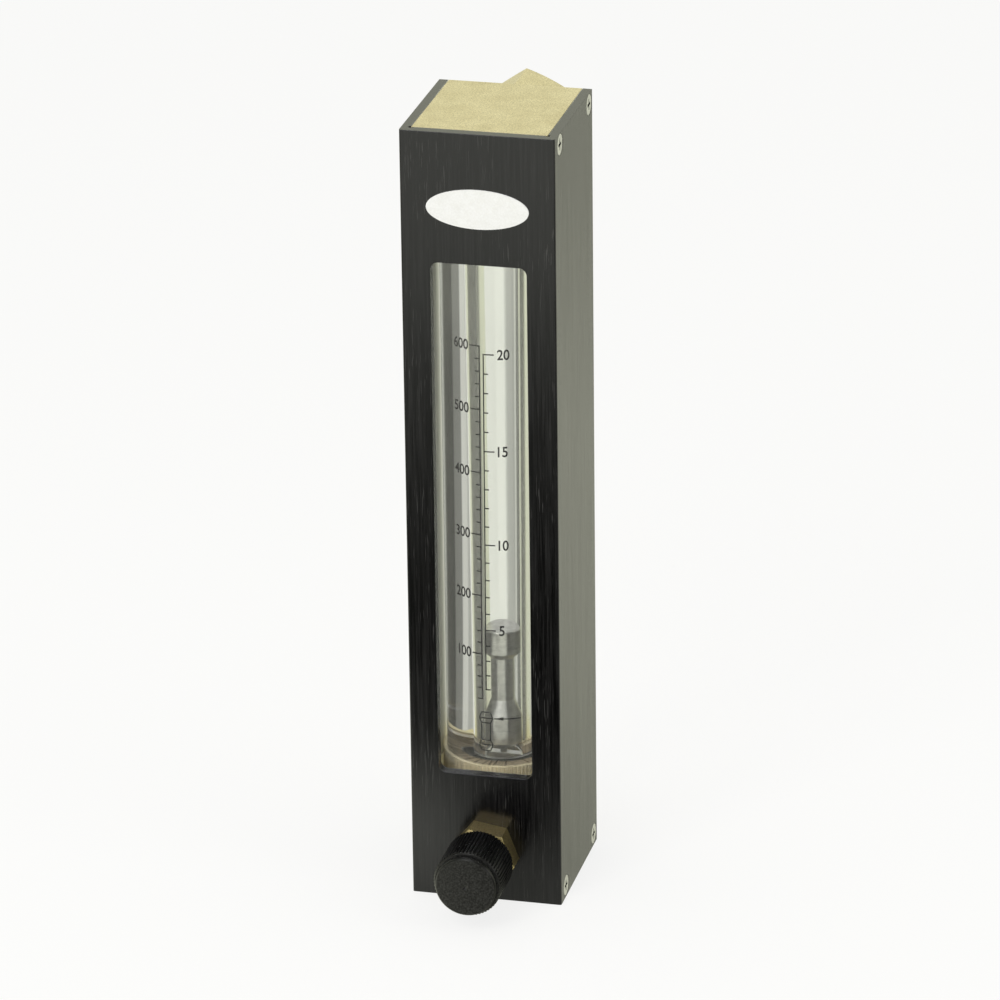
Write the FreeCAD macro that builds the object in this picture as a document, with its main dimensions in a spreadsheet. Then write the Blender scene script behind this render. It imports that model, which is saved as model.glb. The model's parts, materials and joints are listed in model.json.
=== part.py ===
import FreeCAD, Part
import os
import re
import Sketcher

# Variable-area flow meter with a thick glass metering tube, a spool float, brass
# end blocks in an extruded channel and a metering valve on the inlet side.
# Frame: X across, Y from the front face towards the back, Z up. The origin is
# the centre of the housing's base. Lengths in millimetres, angles in degrees.

TOLERANCE = 1e-4

SIZES = {
    # how far a cutting outline reaches past the metal
    "overcut": 1.0,
    # slope of the chamfers on hexagon corners
    "hex_chamfer_slope": 0.55,
    # housing channel
    "housing_width": 58.0,
    "housing_depth": 60.0,
    "housing_height": 305.0,
    "front_wall": 4.0,
    "side_wall": 3.5,
    "edge_round": 0.8,
    "relief_radius": 0.9,
    "window_width": 36.2,
    "window_bottom": 51.0,
    "window_top_inset": 50.0,
    "window_round": 3.0,
    # oval plate on the panel, left blank
    "plate_width": 38.4,
    "plate_height": 15.1,
    "plate_thickness": 0.4,
    "plate_inset": 28.5,
    # end blocks
    "inlet_block_height": 43.0,
    "outlet_block_height": 41.0,
    "block_gap": 0.2,
    # housing screws
    "screw_radius": 2.0,
    "screw_length": 9.0,
    "screw_tip": 0.5,
    "screw_hole_depth": 11.0,
    "screw_head_radius": 3.9,
    "screw_head_land": 0.15,
    "screw_head_sink": 0.1,
    "recess_width": 1.1,
    "recess_span": 4.4,
    "recess_depth": 1.2,
    "screw_inset": 4.5,
    "screw_front_inset": 8.5,
    "screw_back_inset": 4.8,
    # window pane
    "pane_thickness": 1.8,
    "pane_gap": 0.1,
    "pane_end_gap": 0.3,
    # metering tube
    "tube_radius": 21.5,
    "bore_bottom_radius": 7.3,
    "bore_top_radius": 8.3,
    "tube_chamfer": 0.8,
    "tube_clearance": 0.15,
    # knurled tube glands
    "gland_radius": 23.0,
    "gland_height": 9.0,
    "gland_floor": 5.5,
    "gland_spigot_radius": 14.0,
    "gland_spigot_length": 4.0,
    "knurl_count": 96,
    "knurl_depth": 0.35,
    "knurl_half_width": 0.35,
    "riser_radius": 5.0,
    # gaskets and float stops
    "gasket_thickness": 2.0,
    "stop_radius": 10.3,
    "stop_hole_radius": 6.6,
    "stop_bar_width": 3.0,
    "stop_bar_overlap": 1.0,
    "stop_pin_radius": 1.3,
    "stop_pin_height": 3.4,
    # float
    "float_length": 48.0,
    "float_head_radius": 6.9,
    "float_waist_radius": 4.5,
    "float_foot_radius": 4.9,
    "float_foot_height": 2.0,
    "lower_head_height": 13.0,
    "lower_taper_height": 19.0,
    "upper_head_height": 9.3,
    "upper_taper_height": 12.1,
    "float_edge": 0.3,
    "float_travel": 145.0,
    "float_gap": 0.3,
    # port fittings
    "port_inset": 20.0,
    "fitting_flats": 31.75,
    "fitting_hex_length": 26.0,
    "fitting_turn": 35.0,
    "fitting_face_inset": 0.4,
    "fitting_spigot_radius": 10.5,
    "fitting_spigot_length": 14.0,
    "fitting_bore_radius": 7.0,
    "port_radius": 9.6,
    "port_depth": 19.0,
    "port_lead": 1.2,
    "seal_width": 1.9,
    "seal_recess_depth": 2.0,
    # metering valve
    "bonnet_flats": 22.5,
    "bonnet_hex_length": 9.5,
    "bonnet_turn": -9.0,
    "bonnet_face_inset": 0.3,
    "bonnet_shank_radius": 8.5,
    "bonnet_shank_length": 18.0,
    "bonnet_front_wall": 2.0,
    "bonnet_smooth_length": 9.0,
    "bonnet_smooth_radius": 5.0,
    "panel_hole_gap": 0.4,
    "seal_space": 2.0,
    "chamber_radius": 5.5,
    "seat_depth": 36.0,
    "seat_length": 5.0,
    "seat_radius": 6.4,
    "seat_bore_radius": 2.5,
    "seat_flare": 1.5,
    "seat_gap": 0.25,
    "needle_length": 7.0,
    "needle_cone_length": 2.0,
    "needle_tip_radius": 0.7,
    "stem_radius": 3.0,
    "stem_thread_radius": 4.0,
    "stem_thread_length": 12.0,
    "stem_thread_relief": 0.5,
    "stem_shoulder_radius": 3.5,
    "collar_length": 4.5,
    "collar_play": 1.0,
    "groove_inset": 1.2,
    "groove_width": 2.0,
    "groove_radius": 3.35,
    "stem_travel": 4.0,
    "running_gap": 0.05,
    "fit_gap": 0.05,
    # control knob
    "knob_gap": 0.7,
    "knob_radius": 13.0,
    "knob_length": 20.0,
    "knob_edge": 0.6,
    "flute_count": 60,
    "flute_depth": 0.6,
    "flute_half_width": 0.45,
    "knob_face_radius": 11.65,
    "knob_face_thickness": 2.0,
    "knob_face_edge": 0.5,
    "knob_neck_radius": 10.9,
    "knob_neck_length": 0.9,
    "dimple_radius": 1.2,
    "dimple_depth": 0.5,
    "insert_radius": 6.0,
    "insert_length": 15.0,
    "insert_gap": 0.02,
    "insert_end_gap": 0.5,
    "set_screw_radius": 2.0,
    "set_screw_length": 8.0,
    "set_screw_tip": 0.6,
    "set_screw_gap": 0.1,
    "set_screw_level": 8.0,
    "hex_key_flats": 2.0,
    "hex_key_depth": 2.5,
}

# Lengths that follow from the sizes, as expressions over the sheet.
INNER_HALF = "(housing_width / 2 - side_wall)"
BLOCK_HALF = f"({INNER_HALF} - block_gap)"
FRONT = "(housing_depth / 2)"
WINDOW_TOP = "(housing_height - window_top_inset)"
PLATE_LEVEL = "(housing_height - plate_inset)"
BLOCK_FRONT = f"({FRONT} - front_wall - block_gap)"
TUBE_END = "(inlet_block_height + gland_floor + gasket_thickness)"
TUBE_TOP = "(housing_height - outlet_block_height - gland_floor - gasket_thickness)"
POCKET_RADIUS = "(tube_radius + tube_clearance)"
FLOAT_BOTTOM = f"({TUBE_END} + stop_pin_height + float_gap)"
FLOAT_CEILING = f"({FLOAT_BOTTOM} + float_length + float_travel + float_gap)"
PORT_LEVELS = ("port_inset", "(housing_height - port_inset)")
BONNET_END = "(bonnet_shank_length + seal_space)"
THREAD_FRONT = "(bonnet_hex_length - bonnet_front_wall - stem_travel - stem_thread_relief)"
KNOB_BACK = "(bonnet_hex_length + knob_gap)"
SPIGOT_HOLE = "(fitting_spigot_radius + fit_gap)"
SEAL_OUTER = f"({SPIGOT_HOLE} + seal_width)"
SEAL_RECESS = f"({SEAL_OUTER} + fit_gap)"
COLLAR_RADIUS = "(bonnet_smooth_radius - running_gap)"

doc = FreeCAD.newDocument("flow_meter")
sheet = doc.addObject("Spreadsheet::Sheet", "dims")
parts = []


def fill_sheet():
    """Write each driving size into its own cell, with its name as the alias."""
    for row, (name, size) in enumerate(SIZES.items(), start=1):
        sheet.set(f"A{row}", name)
        sheet.set(f"B{row}", str(size))
        sheet.setAlias(f"B{row}", name)
    doc.recompute()


def on_sheet(expression):
    """Point the size names of an expression at the sheet's cells."""
    return re.sub(r"\b[a-z]\w*\b(?!\()", r"dims.\g<0>", str(expression))


def number(expression):
    """Present value of an expression over the sheet."""
    return float(sheet.evalExpression(on_sheet(expression)))


def bind(item, name, expression):
    """Bind a property or constraint of an object to the sheet."""
    item.setExpression(name, on_sheet(expression))


def vector(x, y, z=0.0):
    return FreeCAD.Vector(x, y, z)


# ---------------------------------------------------------------- bodies

def new_body(label):
    body = doc.addObject("PartDesign::Body", label)
    body.Label = label
    parts.append(body)
    return body


def place(body, x="0", y="0", z="0", tilt=0.0, spin=0.0):
    """Stand a body's own Z axis upright, or tilt it about X and spin it about itself."""
    lay_down = FreeCAD.Rotation(vector(1, 0, 0), tilt)
    turn = FreeCAD.Rotation(vector(0, 0, 1), spin)
    base = vector(number(x), number(y), number(z))
    body.Placement = FreeCAD.Placement(base, lay_down.multiply(turn))
    for axis, expression in zip("xyz", (x, y, z)):
        bind(body, f"Placement.Base.{axis}", expression)


def feature(body, kind, name, **settings):
    item = body.newObject(f"PartDesign::{kind}", f"{body.Name}_{name}")
    for key, setting in settings.items():
        setattr(item, key, setting)
    return item


def finish_feature(body, item):
    body.Tip = item
    doc.recompute()
    return item


# -------------------------------------------------------------- sketches

def new_sketch(body, role, name, lift="0", shift="0"):
    """Sketch on an origin plane of its body, lifted along the plane's normal."""
    plane = [f for f in body.Origin.OriginFeatures if f.Role == role][0]
    sketch = body.newObject("Sketcher::SketchObject", f"{body.Name}_{name}")
    sketch.AttachmentSupport = (plane, [""])
    sketch.MapMode = "FlatFace"
    bind(sketch, "AttachmentOffset.Base.z", lift)
    bind(sketch, "AttachmentOffset.Base.y", shift)
    return sketch


def fix(sketch, kind, *places, size):
    """Add one dimension to a sketch and bind it to the sheet."""
    index = sketch.addConstraint(Sketcher.Constraint(kind, *places, number(size)))
    bind(sketch, f"Constraints[{index}]", size)


def outline(sketch, corners):
    """Closed outline of straight lines through corners given as expressions."""
    first = sketch.GeometryCount
    spots = [vector(number(x), number(y)) for x, y in corners]
    count = len(spots)
    for i in range(count):
        sketch.addGeometry(Part.LineSegment(spots[i], spots[(i + 1) % count]))
    for i in range(count):
        here, following = first + i, first + (i + 1) % count
        sketch.addConstraint(Sketcher.Constraint("Coincident", here, 2, following, 1))
    for i, (x, y) in enumerate(corners):
        fix(sketch, "DistanceX", first + i, 1, size=x)
        fix(sketch, "DistanceY", first + i, 1, size=y)
    return sketch


def rectangle(sketch, left, right, low, high):
    return outline(sketch, [(left, low), (right, low), (right, high), (left, high)])


def circle(sketch, x, y, radius):
    """Circle with its centre and radius bound to the sheet."""
    centre = vector(number(x), number(y))
    index = sketch.addGeometry(Part.Circle(centre, vector(0, 0, 1), number(radius)))
    fix(sketch, "DistanceX", index, 3, size=x)
    fix(sketch, "DistanceY", index, 3, size=y)
    fix(sketch, "Radius", index, size=radius)
    return sketch


def hexagon(sketch, flats):
    """Hexagon about the sketch origin with two sides along X."""
    reach, half, side = f"({flats} / sqrt(3))", f"({flats} / 2)", f"({flats} / sqrt(12))"
    return outline(sketch, [(reach, "0"), (side, half), (f"-{side}", half),
                            (f"-{reach}", "0"), (f"-{side}", f"-{half}"), (side, f"-{half}")])


# -------------------------------------------------------------- features

def pad(body, sketch, length, name="pad", both_ways=False, back=False):
    item = feature(body, "Pad", name, Profile=sketch, Reversed=back)
    if both_ways:
        item.SideType = "Symmetric"
    bind(item, "Length", length)
    return finish_feature(body, item)


def pocket(body, sketch, length=None, name="pocket", both_ways=False, back=False):
    """Cut a sketch to a length, or through everything when no length is given."""
    before = body.Shape.Volume
    item = feature(body, "Pocket", name, Profile=sketch, Reversed=back)
    if both_ways:
        item.SideType = "Symmetric"
    if length is None:
        item.Type = "ThroughAll"
    else:
        bind(item, "Length", length)
    finish_feature(body, item)
    check_cut(body, item, before)
    return item


def check_cut(body, item, before):
    if body.Shape.Volume >= before - TOLERANCE:
        raise ValueError(f"{item.Name} cuts nothing from {body.Label}")


def turned(body, sketch, name="turned", axis="V_Axis"):
    item = feature(body, "Revolution", name, Profile=sketch, ReferenceAxis=(sketch, [axis]))
    item.Angle = 360
    return finish_feature(body, item)


def bored(body, sketch, name="bored", axis="V_Axis"):
    before = body.Shape.Volume
    item = feature(body, "Groove", name, Profile=sketch, ReferenceAxis=(sketch, [axis]))
    item.Angle = 360
    finish_feature(body, item)
    check_cut(body, item, before)
    return item


def around(body, original, count, name="ring"):
    """Repeat a cut around the body's own Z axis."""
    axis = [f for f in body.Origin.OriginFeatures if f.Role == "Z_Axis"][0]
    item = feature(body, "PolarPattern", name, Originals=[original], Axis=(axis, [""]))
    item.Angle = 360
    bind(item, "Occurrences", count)
    return finish_feature(body, item)


def mirrored(body, originals, role, name):
    plane = [f for f in body.Origin.OriginFeatures if f.Role == role][0]
    item = feature(body, "Mirrored", name, Originals=originals, MirrorPlane=(plane, [""]))
    return finish_feature(body, item)


def edges_worked(body, kind, name, chosen, measure, size):
    """Fillet or chamfer the edges of the tip for which chosen(edge) is true."""
    tip = body.Tip
    names = [f"Edge{i}" for i, edge in enumerate(tip.Shape.Edges, start=1) if chosen(edge)]
    item = feature(body, kind, name, Base=(tip, names))
    bind(item, measure, size)
    return finish_feature(body, item)


def rounded(body, radius, name, chosen):
    return edges_worked(body, "Fillet", name, chosen, "Radius", radius)


def chamfered(body, size, name, chosen):
    return edges_worked(body, "Chamfer", name, chosen, "Size", size)


def upright(edge):
    ends = edge.Vertexes
    return (len(ends) == 2 and abs(ends[0].Z - ends[1].Z) > TOLERANCE
            and abs(ends[0].X - ends[1].X) < TOLERANCE
            and abs(ends[0].Y - ends[1].Y) < TOLERANCE)


def square_to_front(edge):
    """True for an edge that runs straight back through the front panel."""
    ends = edge.Vertexes
    return (len(ends) == 2 and abs(ends[0].Y - ends[1].Y) > TOLERANCE
            and abs(ends[0].X - ends[1].X) < TOLERANCE
            and abs(ends[0].Z - ends[1].Z) < TOLERANCE)


def at_screw_mouth(edge):
    """True for the rim of a screw hole on the outside of a side wall."""
    wall, hole = number("housing_width / 2"), number("screw_radius + fit_gap")
    return (isinstance(edge.Curve, Part.Circle)
            and abs(edge.Curve.Radius - hole) < TOLERANCE
            and abs(abs(edge.Curve.Center.x) - wall) < TOLERANCE)


def turned_profile(label, profile, tilt=0.0, spin=0.0, y="0", z="0"):
    """Body turned about its own Z axis from one (radius, level) outline."""
    body = new_body(label)
    turned(body, outline(new_sketch(body, "XZ_Plane", "profile"), profile))
    place(body, y=y, z=z, tilt=tilt, spin=spin)
    return body


def hexagon_chamfer(body, flats, inset, top):
    """Turn the corners off a hexagon's top face, from a circle just inside its flats."""
    start, reach = f"({flats} / 2 - {inset})", f"({flats} / sqrt(3) + overcut)"
    corner = new_sketch(body, "XZ_Plane", "corner_cut")
    outline(corner, [(start, top), (reach, top),
                     (reach, f"{top} - ({reach} - {start}) * hex_chamfer_slope")])
    bored(body, corner, "corner_chamfer")


def seal_ring(label, inner, outer, low, high, tilt=0.0, y="0", z="0"):
    """Flat-sided ring about its body's Z axis."""
    corners = [(inner, low), (outer, low), (outer, high), (inner, high)]
    return turned_profile(label, corners, tilt=tilt, y=y, z=z)


# --------------------------------------------------------------- housing

def housing_channel():
    """Extruded channel: a front panel with a window and two side walls, open behind."""
    body = new_body("housing_channel")
    half, front, wall = "housing_width / 2", f"-{FRONT}", INNER_HALF
    inner = f"(front_wall - {FRONT})"
    section = [(f"-{half}", front), (half, front), (half, FRONT), (wall, FRONT), (wall, inner),
               (f"-{wall}", inner), (f"-{wall}", FRONT), (f"-{half}", FRONT)]
    pad(body, outline(new_sketch(body, "XY_Plane", "section"), section), "housing_height")
    front_level = -number(FRONT)
    rounded(body, "edge_round", "edges",
            lambda edge: upright(edge) and abs(edge.Vertexes[0].Y - front_level) < TOLERANCE)

    reliefs = new_sketch(body, "XY_Plane", "reliefs", lift="housing_height")
    for sign in ("-", ""):
        circle(reliefs, f"{sign}{wall}", inner, "relief_radius")
    pocket(body, reliefs, name="corner_reliefs")

    window = rectangle(new_sketch(body, "XZ_Plane", "window", lift=FRONT),
                       "-window_width / 2", "window_width / 2", "window_bottom", WINDOW_TOP)
    pocket(body, window, "front_wall", name="window_opening")
    side = number("window_width / 2")
    rounded(body, "window_round", "window_corners",
            lambda edge: square_to_front(edge)
            and abs(abs(edge.Vertexes[0].X) - side) < TOLERANCE)

    valve_hole = new_sketch(body, "XZ_Plane", "valve_hole", lift=FRONT)
    circle(valve_hole, "0", "port_inset", "bonnet_shank_radius + panel_hole_gap")
    pocket(body, valve_hole, "front_wall", name="valve_opening")

    holes = new_sketch(body, "YZ_Plane", "screw_holes")
    for y in ("(screw_front_inset - housing_depth / 2)", "(housing_depth / 2 - screw_back_inset)"):
        for level in ("screw_inset", "(housing_height - screw_inset)"):
            circle(holes, y, level, "screw_radius + fit_gap")
    pocket(body, holes, "housing_width + overcut", name="screw_openings", both_ways=True)
    chamfered(body, "screw_head_radius + screw_head_land + screw_head_sink - screw_radius",
              "countersinks", at_screw_mouth)


def window_pane():
    """Clear pane that stands on the inlet block behind the window."""
    body = new_body("window_pane")
    section = new_sketch(body, "XY_Plane", "section", lift="inlet_block_height")
    rectangle(section, f"-{BLOCK_HALF}", BLOCK_HALF, f"front_wall + pane_gap - {FRONT}",
              f"front_wall + pane_gap + pane_thickness - {FRONT}")
    pad(body, section, "housing_height - inlet_block_height - outlet_block_height - pane_end_gap")


def oval_plate():
    """Blank oval plate on the panel above the window."""
    body = new_body("oval_plate")
    sketch = new_sketch(body, "XZ_Plane", "oval", lift=FRONT)
    level = number(PLATE_LEVEL)
    wide, tall = number("plate_width / 2"), number("plate_height / 2")
    oval = Part.Ellipse(vector(wide, level), vector(0, level + tall), vector(0, level))
    index = sketch.addGeometry(oval)
    sketch.exposeInternalGeometry(index)
    fix(sketch, "DistanceX", index, 3, size="0")
    fix(sketch, "DistanceY", index, 3, size=PLATE_LEVEL)
    sketch.addConstraint(Sketcher.Constraint("Horizontal", index + 1))
    fix(sketch, "Distance", index + 1, size="plate_width")
    fix(sketch, "Distance", index + 2, size="plate_height")
    pad(body, sketch, "plate_thickness")


def housing_screws():
    """Eight countersunk screws with cross recesses, four in each side wall."""
    body = new_body("housing_screws")
    head = "(housing_width / 2 - screw_head_sink)"
    land = f"({head} - screw_head_land)"
    profile = new_sketch(body, "XY_Plane", "profile", lift="screw_inset",
                         shift=f"screw_front_inset - {FRONT}")
    tip = f"({head} - screw_length)"
    outline(profile, [(tip, "0"), (tip, "screw_radius - screw_tip"),
                      (f"{tip} + screw_tip", "screw_radius"),
                      (f"{land} - screw_head_radius + screw_radius", "screw_radius"),
                      (land, "screw_head_radius"), (head, "screw_head_radius"), (head, "0")])
    turned(body, profile, axis="H_Axis")
    recess = new_sketch(body, "YZ_Plane", "recess", lift=head)
    y, level = "(screw_front_inset - housing_depth / 2)", "screw_inset"
    arm, blade = "recess_span / 2", "recess_width / 2"
    outline(recess, [(f"{y} + {a}", f"{level} + {b}") for a, b in (
        (arm, f"-{blade}"), (arm, blade), (blade, blade), (blade, arm), (f"-{blade}", arm),
        (f"-{blade}", blade), (f"-{arm}", blade), (f"-{arm}", f"-{blade}"),
        (f"-{blade}", f"-{blade}"), (f"-{blade}", f"-{arm}"), (blade, f"-{arm}"),
        (blade, f"-{blade}"))])
    pocket(body, recess, "recess_depth", name="cross_recess")

    single = body.Shape.Volume
    for name, role, length in (
            ("up", "Z_Axis", "housing_height - 2 * screw_inset"),
            ("along", "Y_Axis", "housing_depth - screw_front_inset - screw_back_inset")):
        axis = [f for f in body.Origin.OriginFeatures if f.Role == role][0]
        row = feature(body, "LinearPattern", name, TransformMode="Whole shape",
                      Direction=(axis, [""]), Occurrences=2)
        bind(row, "Length", length)
        finish_feature(body, row)
    plane = [f for f in body.Origin.OriginFeatures if f.Role == "YZ_Plane"][0]
    pair = feature(body, "Mirrored", "sides", TransformMode="Whole shape",
                   MirrorPlane=(plane, [""]))
    finish_feature(body, pair)
    if abs(body.Shape.Volume - 8 * single) > TOLERANCE * single:
        raise ValueError("the screws aren't eight alike")


# ------------------------------------------------------------ end blocks

def block(label, bottom, height, level):
    """Rectangular brass block that fills the channel, with its tapped screw holes."""
    body = new_body(label)
    section = rectangle(new_sketch(body, "XY_Plane", "section", lift=bottom),
                        f"-{BLOCK_HALF}", BLOCK_HALF, f"-{BLOCK_FRONT}", FRONT)
    pad(body, section, height)
    holes = new_sketch(body, "YZ_Plane", "screw_holes", lift=BLOCK_HALF)
    for y in ("(screw_front_inset - housing_depth / 2)", "(housing_depth / 2 - screw_back_inset)"):
        circle(holes, y, level, "screw_radius + fit_gap")
    first = pocket(body, holes, "screw_hole_depth", name="right_holes")
    mirrored(body, [first], "YZ_Plane", "left_holes")
    return body


def inlet_block():
    """Lower block: port and valve bores meet at the seat, and a riser feeds the tube."""
    body = block("inlet_block", "0", "inlet_block_height", "screw_inset")
    seat = f"(seat_depth - {FRONT})"
    across = new_sketch(body, "YZ_Plane", "valve_bore", shift="port_inset")
    shank, chamber_start = f"-{BLOCK_FRONT}", f"({BONNET_END} - {FRONT})"
    outline(across, [
        (shank, "0"), (shank, "bonnet_shank_radius + fit_gap"),
        (chamber_start, "bonnet_shank_radius + fit_gap"), (chamber_start, "chamber_radius"),
        (seat, "chamber_radius"), (seat, "seat_radius + fit_gap"),
        (f"{seat} + seat_length", "seat_radius + fit_gap"),
        (f"{FRONT} - fitting_spigot_length", "seat_radius + fit_gap"),
        (f"{FRONT} - fitting_spigot_length", SPIGOT_HOLE),
        (f"{FRONT} - seal_recess_depth", SPIGOT_HOLE),
        (f"{FRONT} - seal_recess_depth", SEAL_RECESS), (FRONT, SEAL_RECESS), (FRONT, "0")])
    bored(body, across, "port_bore", axis="H_Axis")
    riser(body, "inlet_block_height", "inlet_block_height - gland_spigot_length", "port_inset")


def outlet_block():
    """Upper block: a riser from the tube turns into the rear port."""
    bottom = "(housing_height - outlet_block_height)"
    body = block("outlet_block", bottom, "outlet_block_height",
                 "(housing_height - screw_inset)")
    across = new_sketch(body, "YZ_Plane", "port_bore_profile",
                        shift="housing_height - port_inset")
    outline(across, [
        ("-fitting_bore_radius", "0"), ("-fitting_bore_radius", "fitting_bore_radius"),
        (f"{FRONT} - fitting_spigot_length", "fitting_bore_radius"),
        (f"{FRONT} - fitting_spigot_length", SPIGOT_HOLE),
        (f"{FRONT} - seal_recess_depth", SPIGOT_HOLE),
        (f"{FRONT} - seal_recess_depth", SEAL_RECESS), (FRONT, SEAL_RECESS), (FRONT, "0")])
    bored(body, across, "port_bore", axis="H_Axis")
    riser(body, bottom, f"{bottom} + gland_spigot_length", "housing_height - port_inset")


def riser(body, mouth, recess_end, centre):
    """Vertical passage on the tube's axis with the gland's recess at its mouth."""
    recess = "gland_spigot_radius + fit_gap"
    upward = new_sketch(body, "XZ_Plane", "riser_profile")
    outline(upward, [("0", mouth), (recess, mouth), (recess, recess_end),
                     ("riser_radius", recess_end), ("riser_radius", centre), ("0", centre)])
    bored(body, upward, "riser")


# ------------------------------------------------------------ tube stack

def metering_tube():
    """Thick glass tube whose bore widens upwards."""
    low, high, edge = TUBE_END, TUBE_TOP, "tube_chamfer"
    turned_profile("metering_tube", [
        ("bore_bottom_radius", low), (f"tube_radius - {edge}", low),
        ("tube_radius", f"{low} + {edge}"), ("tube_radius", f"{high} - {edge}"),
        (f"tube_radius - {edge}", high), ("bore_top_radius", high)])


def tube_gland(label, lower):
    """Knurled cup that centres a tube end on its block, with a spigot in the riser."""
    def at(level):
        return level if lower else f"(housing_height - ({level}))"

    seat = "inlet_block_height" if lower else "outlet_block_height"
    rim, floor = f"{seat} + gland_height", f"{seat} + gland_floor"
    body = turned_profile(label, [
        (hole, at(level)) for hole, level in (
            ("riser_radius", f"{seat} - gland_spigot_length"),
            ("gland_spigot_radius", f"{seat} - gland_spigot_length"),
            ("gland_spigot_radius", seat), ("gland_radius", seat), ("gland_radius", rim),
            (POCKET_RADIUS, rim), (POCKET_RADIUS, floor), ("riser_radius", floor))])
    notch_half = "(knurl_half_width * (1 + overcut / knurl_depth))"
    notch = new_sketch(body, "XY_Plane", "knurl", lift=at(seat if lower else rim))
    outline(notch, [("gland_radius - knurl_depth", "0"),
                    ("gland_radius + overcut", notch_half),
                    ("gland_radius + overcut", f"-{notch_half}")])
    groove = pocket(body, notch, "gland_height", name="notch", back=True)
    around(body, groove, "knurl_count")


def tube_gasket(label, lower):
    """Flat ring between a gland's floor and the tube end."""
    low = "inlet_block_height + gland_floor" if lower else TUBE_TOP
    high = f"{low} + gasket_thickness"
    turned_profile(label, [("stop_radius + fit_gap", low), (f"{POCKET_RADIUS} - fit_gap", low),
                           (f"{POCKET_RADIUS} - fit_gap", high), ("stop_radius + fit_gap", high)])


def float_stop(label, lower):
    """Ring with a cross bar and a pin that the float's end meets."""
    body = new_body(label)
    low = "inlet_block_height + gland_floor" if lower else TUBE_TOP
    ring = new_sketch(body, "XY_Plane", "ring", lift=low)
    circle(ring, "0", "0", "stop_radius")
    circle(ring, "0", "0", "stop_hole_radius")
    pad(body, ring, "gasket_thickness", name="plate")
    bar = rectangle(new_sketch(body, "XY_Plane", "bar", lift=low),
                    "-stop_hole_radius - stop_bar_overlap", "stop_hole_radius + stop_bar_overlap",
                    "-stop_bar_width / 2", "stop_bar_width / 2")
    pad(body, bar, "gasket_thickness", name="cross_bar")
    pin = circle(new_sketch(body, "XY_Plane", "pin", lift=TUBE_END if lower else low),
                 "0", "0", "stop_pin_radius")
    if lower:
        pad(body, pin, "stop_pin_height", name="stop_pin")
    else:
        pad(body, pin, f"{TUBE_TOP} - {FLOAT_CEILING}", name="stop_pin", back=True)


def spool_float():
    """Steel spool: two guiding heads on a narrow waist, read at the top edge."""
    top, edge = "float_length", "float_edge"
    turned_profile("float", [
        ("0", "0"), ("float_foot_radius", "0"), ("float_head_radius", "float_foot_height"),
        ("float_head_radius", "lower_head_height"), ("float_waist_radius", "lower_taper_height"),
        ("float_waist_radius", f"{top} - upper_taper_height"),
        ("float_head_radius", f"{top} - upper_head_height"),
        ("float_head_radius", f"{top} - {edge}"), (f"float_head_radius - {edge}", top),
        ("0", top)], z=FLOAT_BOTTOM)


# --------------------------------------------------------- port fittings

def port_fitting(label, level):
    """Hexagonal adapter: spigot in the block, female pipe port facing back."""
    body = new_body(label)
    pad(body, hexagon(new_sketch(body, "XY_Plane", "hexagon"), "fitting_flats"),
        "fitting_hex_length", name="hex")
    top = "fitting_hex_length"
    hexagon_chamfer(body, "fitting_flats", "fitting_face_inset", top)
    spigot = circle(new_sketch(body, "XY_Plane", "spigot"), "0", "0", "fitting_spigot_radius")
    pad(body, spigot, "fitting_spigot_length", name="spigot_pad", back=True)
    bore = new_sketch(body, "XZ_Plane", "bore")
    floor = f"({top} - port_depth)"
    outline(bore, [("0", "-fitting_spigot_length"),
                   ("fitting_bore_radius", "-fitting_spigot_length"),
                   ("fitting_bore_radius", floor), ("port_radius", floor),
                   ("port_radius", f"{top} - port_lead"), ("port_radius + port_lead", top),
                   ("0", top)])
    bored(body, bore, "port")
    place(body, y=FRONT, z=level, tilt=-90, spin=-number("fitting_turn"))


def fitting_seal(label, level):
    seal_ring(label, SPIGOT_HOLE, SEAL_OUTER, "-seal_recess_depth", "0",
              tilt=-90, y=FRONT, z=level)


# -------------------------------------------------------- metering valve
# The valve's pieces are turned about their own Z axis, which points out of the
# front panel. Level 0 is the panel's face and negative levels lie inside.

VALVE = {"tilt": 90.0, "y": f"-{FRONT}", "z": "port_inset"}


def valve_bonnet():
    """Hexagonal bonnet screwed through the panel into the inlet block."""
    body = new_body("valve_bonnet")
    pad(body, hexagon(new_sketch(body, "XY_Plane", "hexagon"), "bonnet_flats"),
        "bonnet_hex_length", name="hex")
    top = "bonnet_hex_length"
    hexagon_chamfer(body, "bonnet_flats", "bonnet_face_inset", top)
    shank = circle(new_sketch(body, "XY_Plane", "shank"), "0", "0", "bonnet_shank_radius")
    pad(body, shank, "bonnet_shank_length", name="shank_pad", back=True)
    end, inner_front = "-bonnet_shank_length", "(bonnet_hex_length - bonnet_front_wall)"
    smooth = f"({end} + bonnet_smooth_length)"
    bore = new_sketch(body, "XZ_Plane", "bore")
    outline(bore, [("0", end), ("bonnet_smooth_radius", end), ("bonnet_smooth_radius", smooth),
                   ("stem_thread_radius + running_gap", smooth),
                   ("stem_thread_radius + running_gap", inner_front),
                   ("stem_radius + running_gap", inner_front),
                   ("stem_radius + running_gap", top), ("0", top)])
    bored(body, bore, "stem_bore")
    place(body, spin=number("bonnet_turn"), **VALVE)


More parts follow.
